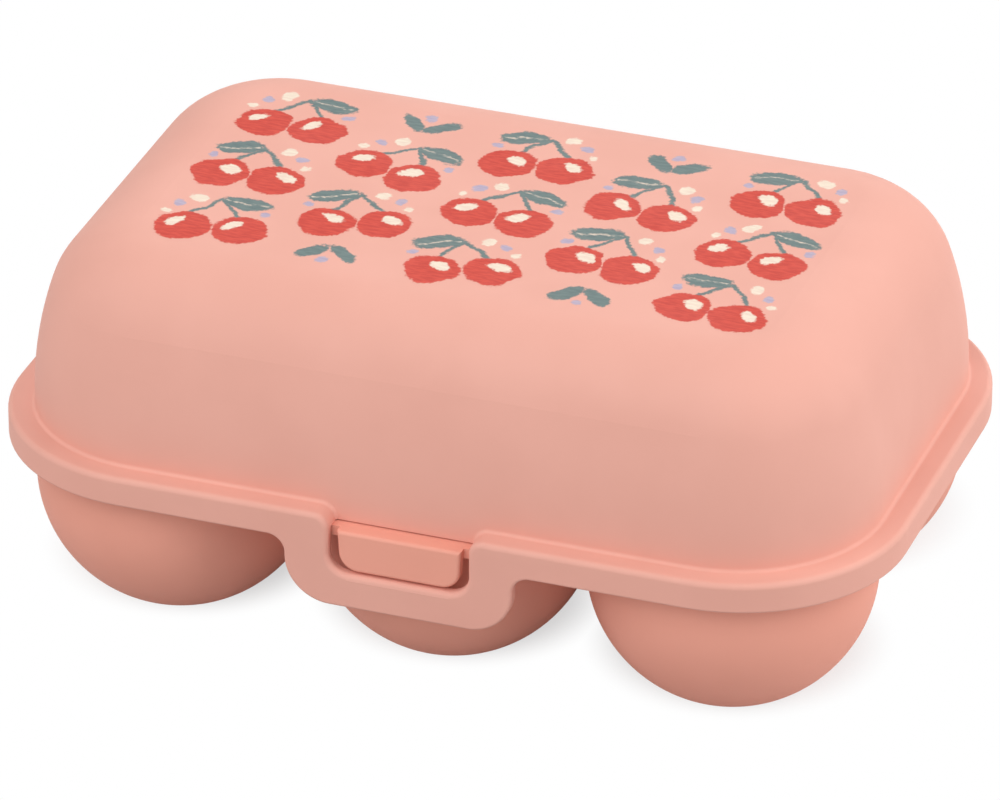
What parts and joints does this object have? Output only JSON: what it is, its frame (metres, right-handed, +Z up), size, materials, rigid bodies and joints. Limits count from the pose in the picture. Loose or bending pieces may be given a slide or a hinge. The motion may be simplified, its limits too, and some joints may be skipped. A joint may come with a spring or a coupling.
{
  "type": "egg box",
  "caption": "Moulded egg box with round cups under a domed lid, a clip-on rear hinge and a front latch loop over a catch.",
  "frame": {"origin": "on the table, under the middle of the rim", "axes": "+X along the length, +Y to the hinge at the back, +Z up; the latch faces -Y"},
  "size_m": [0.155, 0.101, 0.0681],
  "materials": {
    "lid_plastic": "fine satin moulded grain",
    "tray_plastic": "fine satin moulded grain"
  },
  "bodies": {
    "tray": {"tray_deck": "tray_plastic", "egg_cup_front_left": "tray_plastic", "egg_cup_front_middle": "tray_plastic", "egg_cup_front_right": "tray_plastic", "egg_cup_rear_left": "tray_plastic", "egg_cup_rear_middle": "tray_plastic", "egg_cup_rear_right": "tray_plastic", "latch_catch": "tray_plastic", "hinge_bracket_left": "tray_plastic", "hinge_bracket_right": "tray_plastic"},
    "lid": {"lid_shell": "lid_plastic", "hinge_clip_left": "lid_plastic", "hinge_clip_right": "lid_plastic"},
    "latch_loop": {"latch_loop": "lid_plastic"}
  },
  "joints": [
    {"name": "lid_hinge", "type": "hinge", "parent": "tray", "child": "lid", "pos_m": [0, 0.04825, 0.02726], "axis": [-1, 0, 0], "range_deg": [0, 110], "deforming": ["latch_loop"]},
    {"name": "latch_flex", "type": "hinge", "parent": "lid", "child": "latch_loop", "pos_m": [0, -0.0505, 0.02976], "axis": [-1, 0, 0], "range_deg": [0, 18], "stiffness_Nm_per_rad": 0.2}
  ]
}
